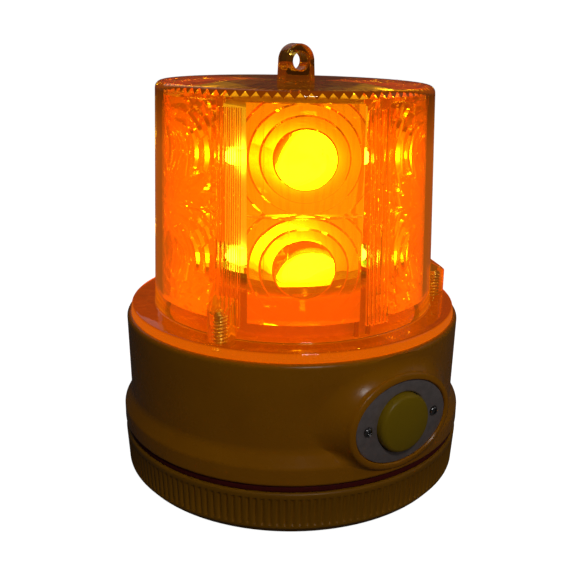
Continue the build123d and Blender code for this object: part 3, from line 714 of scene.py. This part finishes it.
lens = as_object("lens_drum", spin(lens_outline(), lens_azimuths(), lens_shape))
for azimuth in TOWER_AZIMUTHS:
    carve(lens, moved(tower_block(), turn(azimuth)), "UNION")
carve(lens, loop_block(), "UNION")
carve(lens, loop_eye(), "DIFFERENCE")
finished(lens, slots["amber_lens"], "housing", ["lens"])


# Bullseye optics


def facet_slope(radius, depth):
    """Slope that turns an LED's light parallel to the tile's axis."""
    angle = math.atan2(radius, depth)
    return math.sin(angle) / (INDEX - math.cos(angle))


def facet_curve(start, stop, back, steps, strength=1.0):
    """Inner face of one zone as (radius, distance from the beacon's axis)."""
    depth = back - LED_FACE_R
    points = []
    drop = 0.0
    width = (stop - start) / steps
    for step in range(steps, -1, -1):
        radius = start + width * step
        points.append((radius, back - drop))
        drop += facet_slope(radius - width / 2, depth) * width * strength
    points.reverse()
    return points


def fresnel_body(back):
    """A turned block whose inner face carries the centre dome and the ring facets."""
    curve = facet_curve(0.0, RING_STARTS[0], back, 14, DOME_STRENGTH)
    for start, stop, strength in zip(RING_STARTS, RING_STARTS[1:] + (RING_END,), RING_STRENGTHS):
        curve += facet_curve(start + RING_GROOVE, stop, back, 4, strength)
    outline = [(radius, -distance) for radius, distance in curve]
    outline += [(RING_END, -60.0), (0.0, -60.0)]
    flipped = [(radius, -height) for radius, height in outline]
    return along_y(spin(flipped, even(120)))


def tile(height):
    low, high = height - TILE_H / 2, height + TILE_H / 2
    made = None
    for left, right, back in zip(STRIP_EDGES, STRIP_EDGES[1:], STRIP_BACKS):
        strip = as_object("strip", moved(fresnel_body(back), Matrix.Translation((0, 0, height * MM))))
        grow = 0.001 if right < STRIP_EDGES[-1] else 0.0
        carve(strip, block((left, -62, low), (right + grow, -20, high)), "INTERSECT")
        if made is None:
            made = strip
        else:
            joined = bmesh.new()
            joined.from_mesh(strip.data)
            spare = strip.data
            bpy.data.objects.remove(strip)
            bpy.data.meshes.remove(spare)
            carve(made, joined, "UNION")
    gap = 0.03
    skin = [(0, low - 1), (inner_wall(low - 1) - gap, low - 1)]
    skin += [(inner_wall(high + 1) - gap, high + 1), (0, high + 1)]
    return carve(made, spin(skin, even(360)), "INTERSECT")


optics_bm = bmesh.new()
for height in ROW_ZS:
    one = tile(height)
    for azimuth in COLUMNS:
        copy = bmesh.new()
        copy.from_mesh(one.data)
        moved(copy, turn(azimuth))
        spare = bpy.data.meshes.new("copy")
        copy.to_mesh(spare)
        copy.free()
        optics_bm.from_mesh(spare)
        bpy.data.meshes.remove(spare)
    bpy.data.objects.remove(one)
optics = as_object("bullseye_tiles", optics_bm)
finished(optics, slots["amber_optic"], "housing", ["bullseye_optics"], 20.0)


# Housing

NECK_R = 56.6
NECK_Z = shell_low.z / MM
COLLAR_R = shell_high.x / MM
COLLAR_Z = 17.8
COLLAR_TOP_Z = 24.0
WAIST_R = 60.2
WAIST_Z = 29.0
SHOULDER_R = 60.8
SWITCH_Z = (plate_low.z + plate_high.z) / 2 / MM
PLATE_W = plate_high.x / MM
PLATE_H = (plate_high.z - plate_low.z) / 2 / MM
PLATE_FACE_Y = plate_low.y / MM
PLATE_BACK_Y = plate_high.y / MM
BOSS_FACE_Y = -63.6
BOSS_W = 21.4
BOSS_H = 16.6
FLARE_SIDE = 9.0
FLARE_TOP = 6.0
FLARE_BOTTOM = 0.7
PLATE_SCREW_X = 14.0
THREAD_LEAD = 24.0


def housing_outline():
    profile = rounded(
        [
            (54.0, NECK_Z),
            (NECK_R, NECK_Z),
            (NECK_R, COLLAR_Z),
            (COLLAR_R, COLLAR_Z),
            (COLLAR_R, COLLAR_TOP_Z),
            (WAIST_R, WAIST_Z),
            (SHOULDER_R, DECK_Z),
            (49.0, DECK_Z),
            (49.0, DECK_Z - 1.2),
            (45.8, DECK_Z - 1.2),
            (45.8, DECK_Z),
            (36.2, DECK_Z),
            (36.2, 74.0),
            (0, 74.0),
            (0, 71.5),
            (33.6, 71.5),
            (33.6, DECK_Z - 3),
            (SHOULDER_R - 3.1, DECK_Z - 3),
            (WAIST_R - 3.1, WAIST_Z + 1),
            (54.0, COLLAR_TOP_Z),
        ],
        [0, 0.5, 0, 1.2, 2.6, 6, 1.6, 0, 0, 0, 0, 1, 1.5, 0, 0, 1, 0.8, 0.8, 2, 2],
        8,
    )
    return divided(profile, 8.0)


def body_radius(height):
    """Outer radius of the housing beside the switch, from the collar up."""
    if height <= COLLAR_TOP_Z:
        return COLLAR_R
    if height <= WAIST_Z:
        share = (height - COLLAR_TOP_Z) / (WAIST_Z - COLLAR_TOP_Z)
        return COLLAR_R + (WAIST_R - COLLAR_R) * (3 * share**2 - 2 * share**3)
    return WAIST_R + (SHOULDER_R - WAIST_R) * (height - WAIST_Z) / (DECK_Z - WAIST_Z)


def loft(rings):
    """A closed body through rings of points with equal counts."""
    bm = bmesh.new()
    loops = [[bm.verts.new(Vector(point) * MM) for point in ring] for ring in rings]
    count = len(loops[0])
    for first, second in zip(loops, loops[1:]):
        for index in range(count):
            after = (index + 1) % count
            bm.faces.new((first[index], first[after], second[after], second[index]))
    bm.faces.new(loops[0])
    bm.faces.new(loops[-1])
    bmesh.ops.recalc_face_normals(bm, faces=bm.faces)
    return bm


def oval(half_w, half_h, y, count=160):
    ring = []
    for index in range(count):
        angle = 2 * math.pi * index / count
        ring.append((half_w * math.cos(angle), y, SWITCH_Z + half_h * math.sin(angle)))
    return ring


def boss_rings():
    """Oval boss: a rounded rim, then a skirt that runs out into the curved wall."""
    rings = []
    for inset, back in ((1.9, 0.0), (1.1, 0.06), (0.5, 0.32), (0.12, 0.75), (0.0, 1.3)):
        rings.append(oval(BOSS_W - inset, BOSS_H - inset, BOSS_FACE_Y + back))
    steps = 12
    for step in range(1, steps + 1):
        share = step / steps
        ring = []
        for x, _, z in oval(BOSS_W, BOSS_H, 0):
            rise = (z - SWITCH_Z) / BOSS_H
            flare_z = FLARE_TOP if rise > 0 else FLARE_BOTTOM
            reach_x = x + x / BOSS_W * FLARE_SIDE * share * (1 - 0.55 * max(0, -rise))
            reach_z = z + rise * flare_z * share
            wall = -math.sqrt(max(body_radius(reach_z) ** 2 - reach_x**2, 1.0)) + 0.12 * share
            fall = (1 - share) ** 2.6
            front = BOSS_FACE_Y + 1.3
            ring.append((reach_x, wall + (front - wall) * fall, reach_z))
        rings.append(ring)
    rings.append([(x * 0.97, y + 1.6, SWITCH_Z + (z - SWITCH_Z) * 0.97) for x, y, z in rings[-1]])
    return rings


def thread_bar(start, span, low, inner, outer):
    """One helical ridge of the screw closure, 1.6 mm thick."""
    steps = max(8, int(span / 2))
    rings = []
    for step in range(steps + 1):
        azimuth = start + 90 + span * step / steps
        middle = low + THREAD_LEAD * span / 360 * step / steps
        ring = []
        for radius, height in (
            (inner, middle - 0.8),
            (outer, middle - 0.55),
            (outer, middle + 0.55),
            (inner, middle + 0.8),
        ):
            ring.append(polar(azimuth, radius, height) / MM)
        rings.append(ring)
    return loft(rings)


housing = as_object("housing_case", spin(housing_outline(), even(480)))
carve(housing, loft(boss_rings()), "UNION")
recess = [
    oval(PLATE_W + 0.7, PLATE_H + 0.7, -70.0),
    oval(PLATE_W + 0.7, PLATE_H + 0.7, BOSS_FACE_Y - 0.2),
    oval(PLATE_W + 0.2, PLATE_H + 0.2, BOSS_FACE_Y + 0.35),
    oval(PLATE_W + 0.2, PLATE_H + 0.2, PLATE_BACK_Y),
]
carve(housing, loft(recess), "DIFFERENCE")
seat = [(0, 50.0), (11.2, 50.0), (11.2, 59.7), (12.1, 59.7), (12.1, 63.0), (0, 63.0)]
carve(housing, along_y(spin(seat, even(72)), z=SWITCH_Z), "DIFFERENCE")
for index in range(3):
    ridge = thread_bar(120 * index, 95.0, 6.3, NECK_R - 0.4, 57.9)
    carve(housing, ridge, "UNION")
finished(housing, slots["housing_yellow"], "housing", ["housing_shell"], 32.0)


# Base cap and the ring above it

FLUTES = 160
FLUTE_DEPTH = 0.7
FLUTE_LOW_Z = 3.2
FLUTE_HIGH_Z = 13.4
CAP_H = cap_high.z / MM


def cap_outline():
    profile = rounded(
        [
            (2.1, 7.4),
            (25.5, 7.4),
            (25.5, 2.2),
            (56.5, 2.2),
            (56.5, 0),
            (60.0, 0),
            (62.0, 2.4),
            (62.8, CAP_H),
            (58.4, CAP_H),
            (58.4, 4.4),
            (27.7, 4.4),
            (27.7, 9.4),
            (2.1, 9.4),
        ],
        [0, 0, 0, 0, 0, 0.8, 0.7, 0.9, 0, 0, 0, 0, 0],
        6,
    )
    wall = []
    for height in (FLUTE_LOW_Z, FLUTE_LOW_Z + 0.7, FLUTE_HIGH_Z - 0.5, FLUTE_HIGH_Z):
        wall.append((62.0 + 0.8 * (height - 2.4) / (CAP_H - 2.4), height))
    outer = [index for index, (radius, height) in enumerate(profile) if radius > 61.5]
    split = next(index for index in outer if profile[index][1] > 10)
    return profile[:split] + wall + profile[split:]


def cap_shape(azimuth, radius, height):
    """Upright flutes with rounded roots round the grip."""
    if radius < 61.8 or not FLUTE_LOW_Z + 0.5 < height < FLUTE_HIGH_Z - 0.3:
        return radius, height
    phase = abs((azimuth * FLUTES / 360 + 0.5) % 1 - 0.5) * 2
    cut = 0.5 + 0.5 * math.cos(math.pi * min(1.0, phase / 0.85))
    return radius - FLUTE_DEPTH * cut, height


cap = as_object("screw_cap", spin(cap_outline(), even(FLUTES * 8), cap_shape))
for index in range(3):
    lug_low = 6.3 + THREAD_LEAD * 77 / 360 + 1.75
    carve(cap, thread_bar(120 * index + 77, 16.0, lug_low, 57.0, 58.8), "UNION")
finished(cap, slots["cap_yellow"], "base_cap", ["base_cap"], 34.0)

gasket_outline = rounded(
    [
        (NECK_R + 0.1, gasket_low.z / MM),
        (gasket_high.x / MM, gasket_low.z / MM),
        (gasket_high.x / MM, gasket_high.z / MM),
        (NECK_R + 0.1, gasket_high.z / MM),
    ],
    [0.2, 0.6, 0.6, 0.2],
)
gasket = as_object("cap_ring", spin(gasket_outline, even(240)))
finished(gasket, slots["dark_red_rubber"], "housing", ["cap_gasket"])


# Switch

plate_rings = [
    oval(PLATE_W - 0.30, PLATE_H - 0.30, PLATE_FACE_Y),
    oval(PLATE_W - 0.08, PLATE_H - 0.08, PLATE_FACE_Y + 0.08),
    oval(PLATE_W, PLATE_H, PLATE_FACE_Y + 0.3),
    oval(PLATE_W, PLATE_H, PLATE_BACK_Y),
]
plate = as_object("bezel_plate", loft(plate_rings))
BUTTON_R = button_high.x / MM
window = [(0, 61.0), (BUTTON_R + 0.3, 61.0), (BUTTON_R + 0.3, 62.9), (BUTTON_R + 0.7, 63.3)]
window += [(BUTTON_R + 0.7, 65.0), (0, 65.0)]
carve(plate, along_y(spin(window, even(96)), z=SWITCH_Z), "DIFFERENCE")
for side in (-1, 1):
    sink = [(0, 61.0), (1.2, 61.0), (1.2, 62.5), (2.0, 63.3), (2.0, 65.0), (0, 65.0)]
    carve(plate, along_y(spin(sink, even(40)), side * PLATE_SCREW_X, SWITCH_Z), "DIFFERENCE")
finished(plate, slots["grey_plate"], "housing", ["switch_plate"])

for side, name in ((-1, "left"), (1, "right")):
    head = [(0, 56.7), (0.5, 56.7), (1.1, 57.6), (1.1, 62.4), (1.55, 62.75), (1.6, 63.1)]
    head += [(1.52, 63.4), (1.3, 63.68), (0.9, 63.88), (0.45, 63.97), (0, 64.0)]
    screw = as_object("bezel_screw_" + name, along_y(spin(head, even(40)), side * 14, SWITCH_Z))
    for quarter in (30, 120):
        bar = block((-1.05, -64.5, -0.24), (1.05, -63.35, 0.24))
        moved(bar, Matrix.Rotation(math.radians(quarter * side), 4, "Y"))
        moved(bar, Matrix.Translation(Vector((side * PLATE_SCREW_X, 0, SWITCH_Z)) * MM))
        carve(screw, bar, "DIFFERENCE")
    finished(screw, slots["plate_screw"], "housing", ["plate_screws"])

BUTTON_FRONT = -button_low.y / MM
BUTTON_BACK = -button_high.y / MM
DOME_R = 42.0


def dome(radius):
    return BUTTON_FRONT - DOME_R + math.sqrt(DOME_R**2 - radius**2)


button_outline = [(0, BUTTON_BACK), (BUTTON_R - 0.3, BUTTON_BACK), (BUTTON_R, BUTTON_BACK + 0.3)]
button_outline += arc_corner(
    (BUTTON_R, BUTTON_BACK + 0.3), (BUTTON_R, dome(BUTTON_R)), (6.0, dome(6.0)), 1.7, 8
)
button_outline += [(radius, dome(radius)) for radius in (7.2, 6.0, 4.8, 3.6, 2.4, 1.2, 0)]
button = as_object("push_button", along_y(spin(button_outline, even(96)), z=SWITCH_Z))
finished(button, slots["button_yellow"], "button", ["switch_button"], 34.0)


# Lens screws with their threads

THREAD_PITCH = 1.15
SCREW_R = 1.68
SCREW_ROOT_R = 1.30


def screw_shape(azimuth, radius, height):
    if height < DECK_Z or height > SCREW_TIP_Z - 0.4 or radius < SCREW_ROOT_R:
        return radius, height
    phase = (height / THREAD_PITCH - azimuth / 360) % 1
    crest = 1 - min(1.0, abs(phase - 0.5) / 0.36)
    return SCREW_ROOT_R + (SCREW_R - SCREW_ROOT_R) * crest, height


screw_outline = [(0, 53.3), (2.4, 53.3), (3.2, 53.9), (3.2, 55.5), (SCREW_R, 55.5)]
screw_outline += [(SCREW_R, DECK_Z + 0.12 * step) for step in range(100)]
screw_outline += [(SCREW_ROOT_R - 0.1, SCREW_TIP_Z - 0.1), (0, SCREW_TIP_Z)]
for azimuth, name in zip(TOWER_AZIMUTHS, ("left", "right", "rear")):
    bm = moved(spin(screw_outline, even(40), screw_shape), Matrix.Translation((0, 0, 0)))
    moved(bm, Matrix.Translation(polar(azimuth, TOWER_RING_R, 0)))
    screw = as_object("lens_screw_" + name, bm)
    finished(screw, slots["dark_steel"], "housing", ["lens_screws"], 40.0)


# Springs, copied from the CAD as pieces of their own


def free_copy(name, node):
    """The CAD spring as a piece of its own."""
    source = frame["nodes"][node]
    mesh = source.data.copy()
    mesh.transform(source.matrix_world)
    made = bpy.data.objects.new(name, mesh)
    bpy.context.scene.collection.objects.link(made)
    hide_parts(node)
    return made


bpy.context.view_layer.update()
return_spring = free_copy("return_spring", "button_spring")
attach(return_spring, "housing")
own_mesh(return_spring)
cell_springs = free_copy("cell_springs", "contact_springs")
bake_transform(cell_springs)


# Camera, floor and lights

scene = bpy.context.scene
camera_data = bpy.data.cameras.new("camera")
camera = bpy.data.objects.new("camera", camera_data)
scene.collection.objects.link(camera)
camera.location = (-0.1646332, -0.2413432, 0.1562827)
camera.rotation_euler = Euler((1.2888795, -0.0224863, -0.6316230), "XYZ")
camera_data.lens = 50.6363
camera_data.sensor_width = 36.0
camera_data.shift_x = -0.0580879
camera_data.shift_y = -0.0363041
camera_data.clip_start = 0.01
scene.camera = camera

floor_bm = prism([(-3000, -3000), (3000, -3000), (3000, 3000), (-3000, 3000)], -30, -8.2)
floor = as_object("floor", floor_bm)
paper = Recipe("paper")
tooth = paper.noise(600.0, 3.0, 0.6)
paper_shader = paper.node(
    "ShaderNodeBsdfPrincipled",
    {
        "Base Color": paper.blend(tooth, rgba(0.92, 0.92, 0.92), rgba(0.96, 0.96, 0.96)),
        "Roughness": 0.9,
        "Normal": paper.bump(tooth, 0.1, 0.0001),
    },
)
paper_bounce = paper.node(
    "ShaderNodeBsdfPrincipled", {"Base Color": rgba(0.16, 0.16, 0.16), "Roughness": 0.95}
)
paper_light = paper.node("ShaderNodeEmission", {"Color": rgba(1, 1, 1), "Strength": 1.0})
paper_both = paper.node("ShaderNodeAddShader", {0: paper_shader.outputs[0], 1: paper_light.outputs[0]})
paper_mix = paper.node(
    "ShaderNodeMixShader",
    {
        0: paper.node("ShaderNodeLightPath").outputs["Is Camera Ray"],
        1: paper_bounce.outputs[0],
        2: paper_both.outputs[0],
    },
)
floor.data.materials.append(paper.surface(paper_mix.outputs[0]))

world = bpy.data.worlds.new("studio")
world.use_nodes = True
scene.world = world
sky = world.node_tree
sky.nodes.clear()
sky_out = sky.nodes.new("ShaderNodeOutputWorld")
dim = sky.nodes.new("ShaderNodeBackground")
dim.inputs["Color"].default_value = rgba(1.0, 1.0, 1.0)
dim.inputs["Strength"].default_value = 0.018
seen = sky.nodes.new("ShaderNodeBackground")
seen.inputs["Color"].default_value = rgba(1.0, 1.0, 1.0)
seen.inputs["Strength"].default_value = 1.05
path = sky.nodes.new("ShaderNodeLightPath")
choose = sky.nodes.new("ShaderNodeMixShader")
sky.links.new(path.outputs["Is Camera Ray"], choose.inputs[0])
sky.links.new(dim.outputs[0], choose.inputs[1])
sky.links.new(seen.outputs[0], choose.inputs[2])
sky.links.new(choose.outputs[0], sky_out.inputs[0])


def softbox(name, place, aim, size, power):
    data = bpy.data.lights.new(name, "AREA")
    data.energy = power
    data.size = size
    light = bpy.data.objects.new(name, data)
    scene.collection.objects.link(light)
    light.location = place
    towards = Vector(aim) - Vector(place)
    light.rotation_euler = towards.to_track_quat("-Z", "Y").to_euler()
    return light


softbox("key", (-0.34, -0.90, 1.0), (0, 0, 0.06), 0.22, 2.4)
softbox("fill", (0.9, -0.5, 0.7), (0, 0, 0.06), 0.8, 0.35)
softbox("back", (0.2, 1.1, 0.9), (0, 0, 0.08), 0.8, 0.6)

scene.view_settings.view_transform = "Standard"
scene.cycles.max_bounces = 20
scene.cycles.transmission_bounces = 20
scene.cycles.transparent_max_bounces = 24
